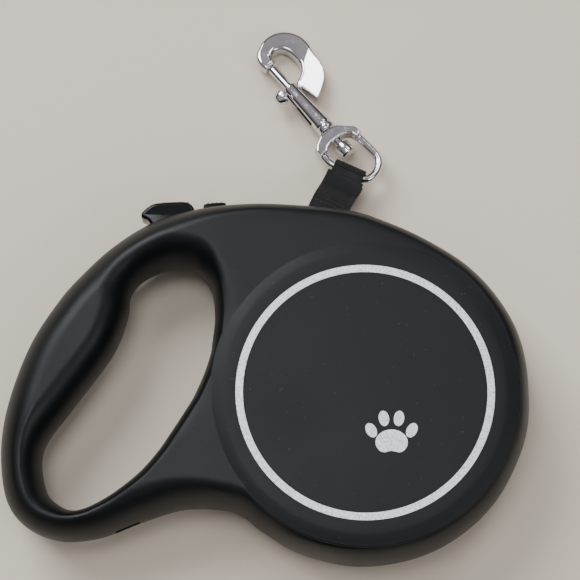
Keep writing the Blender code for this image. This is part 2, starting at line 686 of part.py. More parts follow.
def tape_loop():
    """The tape folded round the eye and sewn to itself: a tapering band with a slot for the wire."""
    start, steps = 0.5 * MM, 12
    tip = SLEEVE_LENGTH - FOLD_RADIUS
    upper = []
    for i in range(steps + 1):
        along = start + (tip - start) * i / steps
        swell = ramp(along, 8 * MM, 13.5 * MM)
        half = 1.2 * MM + (FOLD_RADIUS - 1.2 * MM) * swell
        upper.append((along, tape_drop(along), half))
    outline = [(s, z + half) for s, z, half in upper]
    outline += [(tip + FOLD_RADIUS * math.cos(a), tape_drop(tip) + FOLD_RADIUS * math.sin(a))
                for a in np.radians(np.linspace(67.5, -67.5, 7))]
    outline += [(s, z - half) for s, z, half in reversed(upper)]
    sections = []
    for edge in (-1, 1):
        ring = []
        for s, z in outline:
            width = SLEEVE_WIDTH[0] + (SLEEVE_WIDTH[1] - SLEEVE_WIDTH[0]) * s / SLEEVE_LENGTH
            ring.append(along_tape(s, edge * width / 2, z))
        sections.append(ring)
    band = loft("tape_loop", sections, TAPE_BLACK)
    inner = FOLD_RADIUS - TAPE_THICK
    slot = [(12.2 * MM, inner * 0.25), (14.0 * MM, inner)]
    slot += [(tip + inner * math.cos(a), inner * math.sin(a)) for a in np.radians(np.linspace(90, -90, 9))]
    slot += [(14.0 * MM, -inner), (12.2 * MM, -inner * 0.25)]
    rings = [[along_tape(s, edge * 9 * MM, z + tape_drop(tip)) for s, z in slot] for edge in (-1, 1)]
    boolean(band, loft("wire_slot", rings, None))


# ---------------------------------------------------------------- swivel snap


def snap_frames():
    """Empties on the eye's hinge, in the fold of the tape, and on the snap's own axis."""
    u = Vector((math.cos(TAPE_ANGLE), math.sin(TAPE_ANGLE), 0))
    right = Vector((u.y, -u.x, 0))
    place = along_tape(HINGE_ALONG, 0, tape_drop(SLEEVE_LENGTH))
    turn = Matrix((right, u, Vector((0, 0, 1)))).transposed().to_4x4()
    hinge = empty("eye_hinge", Matrix.Translation(place) @ turn @ Matrix.Rotation(SNAP_TILT, 4, "X"))
    origin = mm(*SNAP_ORIGIN)
    axis = empty("snap_axis", Matrix.Translation(origin) @ Matrix.Rotation(SNAP_ANGLE, 4, "Z"), hinge)
    return hinge, axis


def swivel_eye(hinge, axis):
    """The eye: a bow of round wire whose slanting side lies in the tape's fold, and a thick crosspiece."""
    turn = Matrix.Rotation(-SNAP_ANGLE, 3, "Z")

    def from_hinge(x, y):
        return turn @ (mm(x, y) - mm(*SNAP_ORIGIN))

    bow = [mm(-3.0, 7.1), mm(-6.2, 7.15), mm(-9.0, 7.1), from_hinge(-5.2, 0.1), from_hinge(-4.0, 0.0),
           from_hinge(5.2, 0.0), mm(-21.1, 1.2), mm(-21.4, -0.5), mm(-21.1, -2.4), mm(-20.3, -4.3),
           mm(-18.7, -5.9), mm(-16.3, -6.7), mm(-12.0, -6.6), mm(-5.6, -6.2)]
    eye = tube("swivel_eye", bow, EYE_WIRE, CHROME, axis, resolution=2)
    block = flat("eye_crosspiece", [[(x * MM, y * MM) for x, y in
                 ((-3.9, 8.5), (-2.4, 7.2), (-0.6, 4.0), (-0.4, 0.0), (-0.6, -2.6), (-2.2, -4.4), (-4.9, -7.4),
                  (-7.8, -7.7), (-8.3, -5.4), (-6.0, -4.6), (-4.7, -2.4), (-4.5, 0.5), (-4.7, 3.6), (-6.0, 5.4),
                  (-6.4, 8.5))]],
                 4.8 * MM, None, axis, bevel=0.5 * MM)
    boolean(eye, block, "UNION")
    hole = cylinder("stem_hole", (-10 * MM, 0, 0), (2 * MM, 0, 0), 1.42 * MM, None, axis, sides=20)
    boolean(eye, hole)
    stem = turned("swivel_stem", [(0, 3.2 * MM), (1.35 * MM, 3.2 * MM), (1.35 * MM, -6.4 * MM),
                                  (2.3 * MM, -6.4 * MM), (2.5 * MM, -6.9 * MM), (2.5 * MM, -10.2 * MM),
                                  (1.9 * MM, -10.8 * MM), (0, -10.9 * MM)], CHROME, axis, steps=20)
    stem.rotation_euler.y = math.pi / 2


def hook(axis):
    """The snap's body: a bored barrel, the leaf beside it, and the crooked arm that the bolt closes."""
    wide, slim = BARREL_RADII
    barrel = turned("hook_body", [
        (0, BARREL_LENGTH), (slim - 0.2 * MM, BARREL_LENGTH), (slim, BARREL_LENGTH - 0.3 * MM),
        (wide - 0.25 * MM, 3.0 * MM), (wide - 0.25 * MM, 2.2 * MM), (wide, 1.9 * MM), (wide, 0.4 * MM),
        (wide - 0.4 * MM, 0.0), (0, 0.0)], CHROME, axis, steps=24)
    barrel.rotation_euler.y = math.pi / 2
    outline = [(10.7, -4.6), (12.2, -7.5), (14.0, -10.1), (16.4, -12.3), (19.6, -13.8), (24.0, -14.4)]
    outline += arc((28.9, -5.9), 9.4, 262, 392, 10) + [(35.9, 0.9), (34.2, 2.2), (31.9, 2.75), (30.2, 2.6),
                                                       (29.0, 2.1), (29.0, -2.0), (30.6, -2.1), (32.0, -3.2)]
    outline += [(32.2, -5.3), (30.8, -7.2), (27.4, -8.2), (24.2, -8.0), (21.8, -6.8), (20.5, -5.1),
                (19.6, -3.1), (19.0, -1.3), (17.0, -0.8), (16.6, -2.8)]
    arm = flat("hook_arm", [[(x * MM, y * MM) for x, y in outline]], HOOK_THICK, None, axis, bevel=1.2 * MM)
    boolean(barrel, arm, "UNION")
    bore = cylinder("bolt_bore", (4.5 * MM, 0, 0), (22 * MM, 0, 0), BORE_RADIUS, None, axis, sides=20)
    boolean(barrel, bore)
    seat = cylinder("stem_seat", (-1 * MM, 0, 0), (3.5 * MM, 0, 0), 1.4 * MM, None, axis, sides=20)
    boolean(barrel, seat)
    slot = box("knob_slot", mm(13.0, 3, 0), mm(16.4, 4, 1.9), None, axis)
    boolean(barrel, slot)

    bolt = cylinder("hook_bolt", mm(13.6, 0), (BOLT_END, 0, 0), BOLT_RADIUS, CHROME, axis, sides=20)
    knob_hole = cylinder("knob_hole", mm(18.6, -3), mm(18.6, 3), 0.85 * MM, None, axis, sides=12)
    boolean(bolt, knob_hole)
    knob = cylinder("bolt_knob", mm(18.6, -0.6), mm(18.6, 4.2), 0.6 * MM, CHROME, axis, sides=12)
    pad = flat("knob_pad", [arc((18.6 * MM, 0), 2.7 * MM, 0, 330, 11)], 3.2 * MM, None, axis, bevel=1.0 * MM)
    pad.matrix_local = Matrix.Translation(mm(0, 5.1, 0)) @ Matrix.Rotation(math.pi / 2, 4, "X")
    boolean(knob, pad, "UNION")
    turns, steps = 6, 10
    low, high, coil = 5.0, 13.1, 1.2
    helix = [mm(low + (high - low) * i / (turns * steps), coil * math.cos(2 * math.pi * i / steps),
                coil * math.sin(2 * math.pi * i / steps)) for i in range(turns * steps + 1)]
    tube("bolt_spring", helix, 0.22 * MM, SPRING_STEEL, axis, resolution=0)


def main():
    casing()
    casing_screws()
    reel()
    brake()
    tape()
    hinge, axis = snap_frames()
    swivel_eye(hinge, axis)
    hook(axis)


main()
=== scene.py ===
"""Looks of the retractable leash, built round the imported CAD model.

Metres, in the CAD frame: +Z up from the table, the reel's axis at x = y = 0, the handle towards -X and
the tape's outlet towards +Y.
"""

import math

import bmesh
import bpy
import numpy as np
from mathutils import Matrix, Vector


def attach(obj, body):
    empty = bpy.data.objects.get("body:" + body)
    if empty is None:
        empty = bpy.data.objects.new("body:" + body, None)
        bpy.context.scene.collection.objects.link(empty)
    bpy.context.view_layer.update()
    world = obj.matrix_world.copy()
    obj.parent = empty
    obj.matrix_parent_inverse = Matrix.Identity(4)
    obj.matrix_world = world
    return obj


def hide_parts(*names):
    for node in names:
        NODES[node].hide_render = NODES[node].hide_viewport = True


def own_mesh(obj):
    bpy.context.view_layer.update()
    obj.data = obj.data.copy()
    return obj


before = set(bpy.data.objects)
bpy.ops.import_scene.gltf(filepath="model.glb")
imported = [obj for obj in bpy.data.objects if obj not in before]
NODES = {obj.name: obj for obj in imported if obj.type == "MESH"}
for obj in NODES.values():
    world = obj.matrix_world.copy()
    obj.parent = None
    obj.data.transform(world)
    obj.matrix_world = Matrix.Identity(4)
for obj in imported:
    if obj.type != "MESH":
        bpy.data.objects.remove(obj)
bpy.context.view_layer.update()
MM = 0.001

# Casing, as in the CAD model: sizes in metres, outline points in millimetres
MID_MM = 17.0
MID = MID_MM * MM
BODY_RISE = 16.2 * MM
HANDLE_RISE = 13.2 * MM
WALL = 2.2 * MM
PLATE_RADIUS = 48.2 * MM
DRUM_RADIUS = 52.0 * MM
DRUM_EDGE = 5.5 * MM
HANDLE_EDGE = 10.0 * MM
GRIP_EDGE = 9.0 * MM
WEB_EDGE = 4.0 * MM
DRUM_ANGLES = (-128, -112, -90, -65, -40, -15, 5)
DRUM_FACING = ((-58.3, -7.5), (-56.0, -3.8), (-53.9, -0.4), (-52.4, 2.8), (-51.2, 5.6), (-50.1, 8.4),
               (-49.3, 10.8), (-48.5, 13.5))
OUTLINE = ((49.2, 19.8), (42.5, 32.4), (33.1, 42.6), (20.4, 50.9), (8.0, 56.7), (-4.2, 60.6), (-23.2, 62.5),
           (-38.0, 62.8), (-52.4, 61.4), (-66.8, 57.3), (-79.2, 49.6), (-89.3, 40.2), (-96.9, 31.2),
           (-105.4, 17.2), (-111.7, -1.0), (-113.7, -16.0), (-111.7, -31.2), (-105.5, -39.8),
           (-95.2, -44.2), (-82.5, -43.4), (-68.7, -38.2), (-55.0, -34.2), (-40.5, -35.2))
HAND_HOLE = ((-48.1, 15.2), (-47.7, 18.6), (-47.3, 21.8), (-47.0, 24.6), (-47.0, 27.6), (-47.3, 31.5),
             (-48.6, 36.3), (-53.2, 41.4), (-61.5, 42.7), (-69.8, 39.1), (-73.7, 33.8), (-74.7, 26.5),
             (-79.2, 14.8), (-91.0, -1.8), (-100.2, -15.5), (-99.3, -28.3), (-94.8, -33.4), (-88.8, -34.9),
             (-80.0, -30.9), (-70.6, -23.7), (-64.5, -16.8), (-60.7, -11.2))
HOLE_CENTRE = (-73.0, 4.0)
HOLE_ACROSS = (0.85, -0.53)
SCREWS = ((-102.0, -4.0), (-77.6, 42.4), (-55.5, -24.5), (12.3, 46.2), (31.1, -32.5))
WELL_RADIUS = 3.4 * MM
BORE_RADIUS = 2.5 * MM

# Tape end and snap, as in the CAD model
TAPE_ANGLE = math.radians(65.2)
MOUTH = (-11.1, 61.9)
MOUTH_WIDTH = 13.4 * MM
SLEEVE_WIDTH = (12.4 * MM, 10.4 * MM)
SLEEVE_LENGTH = 19.3 * MM
SLEEVE_DROP = 8.3 * MM
SLEEVE_THICKNESS = 0.8 * MM
SEWN_HALF = 1.2 * MM
FOLD_RADIUS = 2.5 * MM
LAP_START, LAP_END = 14.3 * MM, 14.75 * MM
LAP_STEP = 0.25 * MM
STITCH_RADIUS = 0.17 * MM
HINGE_ALONG = 16.8 * MM
SNAP_TILT = math.radians(-9.6)
SNAP_ANGLE = math.radians(154.6)
SNAP_ORIGIN = (-12.2, 10.65)
EYE_WIRE_RADIUS = 1.35 * MM
ARM_THICKNESS = 4.2 * MM
LEAF_ROOT = (20.2, -4.3)
LEAF_TURN = math.radians(-147)
LEAF_TILT = math.radians(6.5)
BUTTON_PIVOT = (-64.5, 54.6)

# Print on the front plate
RING_RADIUS = 40.0 * MM
RING_WIDTH = 2.3 * MM
PRINT_THICKNESS = 0.2 * MM
PRINT_RISE = 0.035 * MM
PAW_PLACE = (8.0, -14.0)
PAW_SIZE = 8.0

# Camera and floor
SENSOR_WIDTH = 36.0
LENS = 148.9655
CAMERA_PLACE = (-0.023174, -0.136047, 0.761645)
CAMERA_TILT = math.radians(13)
LAMP_AIM = Vector((-0.03, 0.02, 0.0))
FLOOR_SIZE = 3.0
FLOOR_GAP = 0.05 * MM
SMOOTH_ALL = 180


def mm(x, y, z=0.0):
    return Vector((x * MM, y * MM, z * MM))


# ---------------------------------------------------------------- node helpers


class Look:
    """A material and short ways to add nodes to it."""

    def __init__(self, name, colour, roughness, metallic=0.0):
        self.material = bpy.data.materials.new(name)
        self.material.use_nodes = True
        self.tree = self.material.node_tree
        self.shader = self.tree.nodes["Principled BSDF"]
        self.shader.inputs["Base Color"].default_value = (*colour, 1.0)
        self.shader.inputs["Roughness"].default_value = roughness
        self.shader.inputs["Metallic"].default_value = metallic

    def node(self, kind, **inputs):
        made = self.tree.nodes.new(kind)
        for name, value in inputs.items():
            key = name.replace("_", " ")
            if isinstance(value, bpy.types.NodeSocket):
                self.tree.links.new(value, made.inputs[key])
            else:
                made.inputs[key].default_value = value
        return made

    def link(self, source, name):
        self.tree.links.new(source, self.shader.inputs[name])

    def noise(self, scale, detail):
        place = self.node("ShaderNodeTexCoord").outputs["Object"]
        return self.node("ShaderNodeTexNoise", Scale=scale, Detail=detail, Vector=place).outputs["Fac"]

    def ramp(self, value, *stops):
        made = self.node("ShaderNodeValToRGB", Fac=value)
        elements = made.color_ramp.elements
        while len(elements) < len(stops):
            elements.new(0.5)
        for element, (place, colour) in zip(elements, stops):
            element.position = place
            if isinstance(colour, (int, float)):
                colour = (colour, colour, colour)
            element.color = (*colour, 1.0)
        return made.outputs["Color"]

    def math(self, operation, first, second):
        made = self.tree.nodes.new("ShaderNodeMath")
        made.operation = operation
        for socket, value in zip(made.inputs, (first, second)):
            if isinstance(value, bpy.types.NodeSocket):
                self.tree.links.new(value, socket)
            else:
                socket.default_value = value
        return made.outputs[0]

    def bump(self, height, strength, distance):
        made = self.node("ShaderNodeBump", Height=height, Strength=strength, Distance=distance)
        self.link(made.outputs["Normal"], "Normal")


def casing_look(name, colour=(0.0038, 0.0050, 0.0058), rough=(0.36, 0.48), grain=0.45, dust=0.10):
    """Black ABS with a fine spark-eroded grain, slightly polished by handling, with a little dust on it."""
    look = Look(name, colour, 0.42)
    look.shader.inputs["Specular IOR Level"].default_value = 0.22
    fine = look.noise(4200, 2.0)
    broad = look.noise(38, 4.0)
    mixed = look.math("ADD", look.math("MULTIPLY", fine, 0.35), look.math("MULTIPLY", broad, 0.65))
    look.link(look.ramp(mixed, (0.36, rough[0]), (0.66, rough[1])), "Roughness")
    low = tuple(c * 0.85 for c in colour)
    high = tuple(c * 1.25 for c in colour)
    specks = look.ramp(look.noise(900, 1.0), (0.74, 0.0), (0.79, 1.0))
    tone = look.ramp(broad, (0.3, low), (0.7, high))
    mix = look.node("ShaderNodeMix")
    mix.data_type = "RGBA"
    look.tree.links.new(look.math("MULTIPLY", specks, dust), mix.inputs["Factor"])
    look.tree.links.new(tone, mix.inputs["A"])
    mix.inputs["B"].default_value = (0.16, 0.16, 0.155, 1.0)
    look.link(mix.outputs["Result"], "Base Color")
    look.bump(look.noise(3000, 2.0), grain, 0.00004)
    return look


def plain_look(name, colour, roughness, metallic=0.0, scale=1500, depth=0.00002):
    """A moulded, turned or drawn surface with faint variation."""
    look = Look(name, colour, roughness, metallic)
    spread = look.noise(scale / 12, 3.0)
    look.link(look.ramp(spread, (0.3, roughness * 0.8), (0.7, min(1.0, roughness * 1.25))), "Roughness")
    tone = look.ramp(look.noise(scale / 30, 2.0), (0.3, tuple(c * 0.88 for c in colour)),
                     (0.7, tuple(min(1.0, c * 1.1) for c in colour)))
    look.link(tone, "Base Color")
    look.bump(look.noise(scale, 2.0), 0.4, depth)
    return look


def chrome_look():
    """Bright plating over a zinc casting: faint ripples, a few dull spots."""
    look = Look("snap_chrome", (0.7, 0.68, 0.7), 0.06, 1.0)
    wear = look.noise(420, 5.0)
    look.link(look.ramp(wear, (0.35, 0.05), (0.6, 0.10), (0.75, 0.24)), "Roughness")
    look.link(look.ramp(look.noise(160, 3.0), (0.3, (0.62, 0.59, 0.62)), (0.7, (0.76, 0.74, 0.76))),
              "Base Color")
    look.bump(look.noise(230, 2.0), 0.25, 0.00012)
    return look


def web_look():
    """Tightly woven black tape, its rows and ribs laid out by the piece's UV map (millimetres)."""
    look = Look("tape_weave", (0.006, 0.0063, 0.0075), 0.62)
    look.shader.inputs["Specular IOR Level"].default_value = 0.25
    look.shader.inputs["Sheen Weight"].default_value = 0.08
    look.shader.inputs["Sheen Roughness"].default_value = 0.4
    uv = look.node("ShaderNodeTexCoord").outputs["UV"]
    ribs = look.node("ShaderNodeTexWave", Scale=0.9, Vector=uv)
    ribs.bands_direction = "X"
    rows = look.node("ShaderNodeTexWave", Scale=0.75, Vector=uv, Distortion=0.6, Detail=1.0)
    rows.bands_direction = "Y"
    weave = look.math("MULTIPLY", ribs.outputs["Fac"], rows.outputs["Fac"])
    look.link(look.ramp(weave, (0.0, (0.003, 0.003, 0.0036)), (1.0, (0.011, 0.0115, 0.0135))), "Base Color")
    look.link(look.ramp(look.noise(260, 3.0), (0.3, 0.5), (0.7, 0.75)), "Roughness")
    look.bump(weave, 0.7, 0.0001)
    return look


def print_look():
    """Silver screen print with the speckle of metallic ink."""
    look = Look("silver_print", (0.6, 0.6, 0.62), 0.45, 0.35)
    speck = look.noise(2600, 3.0)
    tone = look.ramp(speck, (0.32, (0.42, 0.44, 0.48)), (0.5, (0.74, 0.77, 0.82)), (0.68, (0.93, 0.95, 0.98)))
    look.link(tone, "Base Color")
    look.link(look.ramp(look.noise(700, 2.0), (0.3, 0.38), (0.7, 0.6)), "Roughness")
    look.bump(speck, 0.5, 0.00003)
    return look


CASING = casing_look("casing_satin")
PLATE = casing_look("plate_satin", (0.0040, 0.0056, 0.0064), (0.40, 0.52), 0.5, 0.14)
GLOSS = casing_look("button_gloss", (0.004, 0.0046, 0.0056), (0.12, 0.22), 0.08, 0.03)
SHADOW_GAP = plain_look("inner_black", (0.006, 0.006, 0.006), 0.7)
CHROME = chrome_look()
WEB = web_look()
PRINT = print_look()
STEEL = plain_look("screw_steel", (0.5, 0.5, 0.51), 0.3, 1.0)
SPRING = plain_look("spring_steel", (0.3, 0.31, 0.34), 0.32, 1.0)
REEL_GREY = plain_look("reel_nylon", (0.3, 0.31, 0.32), 0.5)
BUSH = plain_look("bush_acetal", (0.72, 0.72, 0.69), 0.4)
THREAD = plain_look("stitch_thread", (0.014, 0.0145, 0.017), 0.55, scale=4000, depth=0.00004)


# ---------------------------------------------------------------- mesh helpers


def loose(name, data):
    obj = bpy.data.objects.new(name, data)
    bpy.context.scene.collection.objects.link(obj)
    return obj


def show(name, mesh, look, body, angle, replaces=()):
    """Puts a mesh in the scene, smooth except along sharp edges, riding on its body."""
    obj = loose(name, mesh)
    mesh.materials.clear()
    mesh.materials.append(look.material)
    mesh.shade_smooth()
    if angle < SMOOTH_ALL:
        mesh.set_sharp_from_angle(angle=math.radians(angle))
    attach(obj, body)
    if replaces:
        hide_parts(*replaces)
    return obj


def facing_out(mesh, weld=False):
    """The mesh with its normals outward, and with points that coincide made one where asked."""
    bm = bmesh.new()
    bm.from_mesh(mesh)
    if weld:
        bmesh.ops.remove_doubles(bm, verts=bm.verts, dist=1e-7)
    bmesh.ops.recalc_face_normals(bm, faces=bm.faces)
    bm.to_mesh(mesh)
    bm.free()
    return mesh


def grid_mesh(name, rings, closed_rings=True):
    """A surface through equal rings of points, which run on from the last ring to the first."""
    count = len(rings[0])
    points = [tuple(p) for ring in rings for p in ring]
    faces = []
    steps = count if closed_rings else count - 1
    for i in range(len(rings)):
        j = (i + 1) % len(rings)
        for k in range(steps):
            n = (k + 1) % count
            faces.append((i * count + k, j * count + k, j * count + n, i * count + n))
    mesh = bpy.data.meshes.new(name)
    mesh.from_pydata(points, [], faces)
    return facing_out(mesh)


def turned_mesh(name, profile, steps):
    """A profile of (radius, height) that starts and ends on the axis, turned about Z."""
    rings = []
    for i in range(steps):
        a = 2 * math.pi * i / steps
        rings.append([Vector((r * math.cos(a), r * math.sin(a), h)) for r, h in profile])
    return facing_out(grid_mesh(name, rings, closed_rings=False), weld=True)


def moved(mesh, matrix):
    mesh.transform(matrix)
    return mesh


def applied(obj, name):
    """The object's mesh with its modifiers applied; the object goes."""
    bpy.context.view_layer.update()
    graph = bpy.context.evaluated_depsgraph_get()
    mesh = bpy.data.meshes.new_from_object(obj.evaluated_get(graph))
    mesh.name = name
    bpy.data.objects.remove(obj, do_unlink=True)
    return mesh


def combined(name, first, others, operation="UNION", solver="MANIFOLD"):
    """The first mesh joined with or cut by the others."""
    obj = loose(name, first)
    helpers = [loose(f"{name}_{i}", mesh) for i, mesh in enumerate(others)]
    for helper in helpers:
        modifier = obj.modifiers.new("join", "BOOLEAN")
        modifier.operation = operation
        modifier.object = helper
        modifier.solver = solver
    mesh = applied(obj, name)
    for helper in helpers:
        bpy.data.objects.remove(helper, do_unlink=True)
    return mesh


def cast(name, mesh, voxel, rounds):
    """The mesh remeshed fine and relaxed, so that its parts run together as in a casting."""
    obj = loose(name, mesh)
    remesh = obj.modifiers.new("skin", "REMESH")
    remesh.mode = "VOXEL"
    remesh.voxel_size = voxel
    relax = obj.modifiers.new("relax", "SMOOTH")
    relax.iterations = rounds
    relax.factor = 0.5
    return applied(obj, name)


def curve_mesh(name, points, radius, resolution):
    """A round wire through the points, with filled ends."""
    curve = bpy.data.curves.new(name, "CURVE")
    curve.dimensions = "3D"
    curve.bevel_depth = radius
    curve.bevel_resolution = resolution
    curve.use_fill_caps = True
    spline = curve.splines.new("POLY")
    spline.points.add(len(points) - 1)
    for point, place in zip(spline.points, points):
        point.co = (*place, 1.0)
    return facing_out(applied(loose(name, curve), name), weld=True)


def plate_mesh(name, outlines, thickness, bevel, segments, height=0.0):
    """A plate with rounded rims about z = height, from outlines in metres."""
    curve = bpy.data.curves.new(name, "CURVE")
    curve.dimensions = "2D"
    curve.fill_mode = "BOTH"
    curve.extrude = thickness / 2 - bevel
    curve.bevel_depth = bevel
    curve.bevel_resolution = segments
    curve.offset = -bevel
    for outline in outlines:
        spline = curve.splines.new("POLY")
        spline.points.add(len(outline) - 1)
        for point, (x, y) in zip(spline.points, outline):
            point.co = (x, y, 0.0, 1.0)
        spline.use_cyclic_u = True
    mesh = facing_out(applied(loose(name, curve), name), weld=True)
    return moved(mesh, Matrix.Translation((0, 0, height)))


def box_mesh(name, centre, size, turn=0.0, bevel=0.0):
    bm = bmesh.new()
    bmesh.ops.create_cube(bm, size=1.0, matrix=Matrix.Diagonal((*size, 1.0)))
    if bevel:
        bmesh.ops.bevel(bm, geom=bm.edges[:], offset=bevel, segments=4, profile=0.5, affect="EDGES")
    mesh = bpy.data.meshes.new(name)
    bm.to_mesh(mesh)
    bm.free()
    return moved(mesh, Matrix.Translation(centre) @ Matrix.Rotation(turn, 4, "Z"))


def rod_mesh(name, start, end, radius):
    bm = bmesh.new()
    bmesh.ops.create_cone(bm, cap_ends=True, segments=48, radius1=radius, radius2=radius,
                          depth=(end - start).length)
    mesh = bpy.data.meshes.new(name)
    bm.to_mesh(mesh)
    bm.free()
    turn = (end - start).to_track_quat("Z", "Y").to_matrix().to_4x4()
    return moved(mesh, Matrix.Translation((start + end) / 2) @ turn)


def arc(centre, radius, first, last, steps):
    angles = np.radians(np.linspace(first, last, steps + 1))
    return [(centre[0] + radius * math.cos(a), centre[1] + radius * math.sin(a)) for a in angles]


def closed_curve(points, count):
    """Evenly parametrised points on a smooth closed curve through the given ones."""
    points = np.asarray(points, float)
    total = len(points)
    made = []
    for step in range(count):
        place = step * total / count
        i = int(place)
        t = place - i
        before, here, after, later = (points[(i + k) % total] for k in (-1, 0, 1, 2))
        made.append(0.5 * (2 * here + (after - before) * t
                           + (2 * before - 5 * here + 4 * after - later) * t * t
                           + (3 * here - before - 3 * after + later) * t ** 3))
    return np.array(made)


# ---------------------------------------------------------------- casing


def casing_curves(count):
    """The casing's outline and its hand hole, as points that face each other."""
    drum = [(DRUM_RADIUS / MM * math.cos(math.radians(a)), DRUM_RADIUS / MM * math.sin(math.radians(a)))
            for a in DRUM_ANGLES]
    return (closed_curve(drum + list(OUTLINE), count) * MM,
            closed_curve(list(DRUM_FACING) + list(HAND_HOLE), count) * MM)


def ramp(value, low, high):
    t = np.clip((value - low) / (high - low), 0.0, 1.0)
    return t * t * (3 - 2 * t)


def distance_to(points, curve):
    """Each point's distance to a closed polyline."""
    nearest = np.full(len(points), np.inf)
    for start, end in zip(curve, np.roll(curve, -1, axis=0)):
        along = end - start
        t = np.clip((points - start) @ along / (along @ along), 0.0, 1.0)
        gap = points - start - t[:, None] * along
        nearest = np.minimum(nearest, (gap ** 2).sum(1))
    return np.sqrt(nearest)


def edge_widths(points):
    """How wide the rounded edge is at each point: (from the outline, from the hand hole)."""
    outer = DRUM_EDGE + (HANDLE_EDGE - DRUM_EDGE) * ramp(-points[:, 0], 30 * MM, 75 * MM)
    across = ((points - np.array(HOLE_CENTRE) * MM) * np.array(HOLE_ACROSS)).sum(1)
    inner = GRIP_EDGE + (WEB_EDGE - GRIP_EDGE) * ramp(across, -6 * MM, 10 * MM)
    return outer, inner


def quarter_round(share):
    return np.sqrt(1 - (1 - np.clip(share, 0.0, 1.0)) ** 2)


def casing_rise(points, outline, hole, inset):
    """How far the casing's face stands above the parting plane at each point."""
    outer, inner = edge_widths(points)
    full = BODY_RISE + (HANDLE_RISE - BODY_RISE) * ramp(-points[:, 0], 45 * MM, 100 * MM)
    return ((full - inset) * quarter_round(distance_to(points, outline) / (outer - inset))
            * quarter_round(distance_to(points, hole) / (inner - inset)))


def inset_curve(curve, distance):
    along = np.roll(curve, -1, axis=0) - np.roll(curve, 1, axis=0)
    along /= np.linalg.norm(along, axis=1)[:, None]
    return curve + distance * np.column_stack([-along[:, 1], along[:, 0]])


def row_places(width, outer, inner, edge_steps, face_steps):
    """Where the rows of a column lie, from 0 at the outline to 1 at the hand hole."""
    share = min(1.0, 0.96 * width / (outer + inner))
    turn = 1 - np.cos(np.linspace(0, math.pi / 2, edge_steps + 1))
    first = turn * outer * share / width
    last = 1 - turn[::-1] * inner * share / width
    middle = np.linspace(first[-1], last[0], face_steps + 2)[1:-1]
    return np.concatenate([first, middle, last])


def casing_block(name, inset, columns, edge_steps, face_steps):
    """The whole casing as a solid ring round the hand hole, or with an inset the cavity inside it."""
    outline, hole = casing_curves(columns)
    outline, hole = inset_curve(outline, inset), inset_curve(hole, -inset)
    outer = edge_widths(outline)[0] - inset
    inner = edge_widths(hole)[1] - inset
    rows = np.array([row_places(np.linalg.norm(hole[i] - outline[i]), outer[i], inner[i], edge_steps,
                                face_steps) for i in range(columns)])
    places = outline[:, None, :] + rows[:, :, None] * (hole - outline)[:, None, :]
    across = places.shape[1]
    rise = casing_rise(places.reshape(-1, 2), outline, hole, inset).reshape(-1, across)
    rise[:, 0] = rise[:, -1] = 0.0
    front = np.dstack([places, MID + rise])
    rear = np.dstack([places, MID - rise])[:, across - 2:0:-1]
    rings = np.concatenate([front, rear], axis=1)
    return grid_mesh(name, rings.tolist())


def along_tape(distance, across=0.0, up=0.0):
    """A point from its place along the tape past the mouth, across it, and above the middle plane."""
    u = Vector((math.cos(TAPE_ANGLE), math.sin(TAPE_ANGLE), 0))
    right = Vector((u.y, -u.x, 0))
    return mm(*MOUTH) + Vector((0, 0, MID + up)) + u * distance + right * across


TAPE_TURN = TAPE_ANGLE - math.pi / 2


def casing():
    """Both moulded shells, with the tape's mouth, the button's and lock's slots and the screw wells."""
    outer = casing_block("casing_outer", 0.0, 330, 14, 10)
    inner = casing_block("casing_inner", WALL, 110, 5, 3)
    for name, side in (("front_shell", 1), ("rear_shell", -1)):
        half = box_mesh("half", mm(-30, 10, MID_MM + side * 20.1), mm(220, 180, 40))
        mesh = combined(name, outer.copy(), [half], "INTERSECT")
        cuts = [inner.copy(),
                box_mesh("mouth", along_tape(0), (MOUTH_WIDTH, 16 * MM, MOUTH_WIDTH), TAPE_TURN, 1.2 * MM),
                box_mesh("button", mm(-61.9, 58.7, MID_MM), mm(20.6, 12.4, 9.7), math.radians(16.5),
                         0.8 * MM),
                box_mesh("lock", mm(-48.1, 63.0, MID_MM), mm(9.8, 8.0, 7.2)),
                box_mesh("socket", mm(-73.6, -40.2, MID_MM), mm(8.2, 3.4, 3.8), math.radians(20),
                         0.5 * MM)]
        mesh = combined(name, mesh, cuts, "DIFFERENCE")
        if side < 0:
            wells = [rod_mesh("well", mm(x, y, 4.5 if x > -90 else 6.5), mm(x, y, 16), WELL_RADIUS)
                     for x, y in SCREWS]
            mesh = combined(name, mesh, wells)
            bores = [rod_mesh("bore", mm(x, y, -1), mm(x, y, 8.3), BORE_RADIUS) for x, y in SCREWS]
            mesh = combined(name, mesh, bores, "DIFFERENCE")
        show(name, mesh, CASING, "casing", 40,
             ("front_casing" if side > 0 else "rear_casing",))
        plate(name.replace("shell", "plate"), side)


def plate(name, side):
    """The round plate on a shell: flat, then a gentle cone, a small radius and a crisp drop."""
    flat, top, rim, depth = 43.6 * MM, MID, 0.6 * MM, 3.4 * MM
    cone = PLATE_RADIUS - 0.7 * MM - flat
    profile = [(0.0, top), (20 * MM, top), (flat - 2 * MM, top), (flat, top - 0.02 * MM)]
    for share in np.linspace(0.12, 1, 8):
        profile.append((flat + cone * share, top - (0.02 + 0.83 * share ** 1.25) * MM))
    for a in np.radians(np.linspace(70, 0, 6)):
        profile.append((PLATE_RADIUS - rim + rim * math.cos(a), top - 1.45 * MM + rim * math.sin(a)))
    profile += [(PLATE_RADIUS, top - depth), (0.0, top - depth)]
    mesh = turned_mesh(name, profile, 256)
    matrix = Matrix.Translation((0, 0, MID))
    if side < 0:
        matrix = matrix @ Matrix.Rotation(math.pi, 4, "X")
    show(name, moved(mesh, matrix), PLATE, "casing", 40)


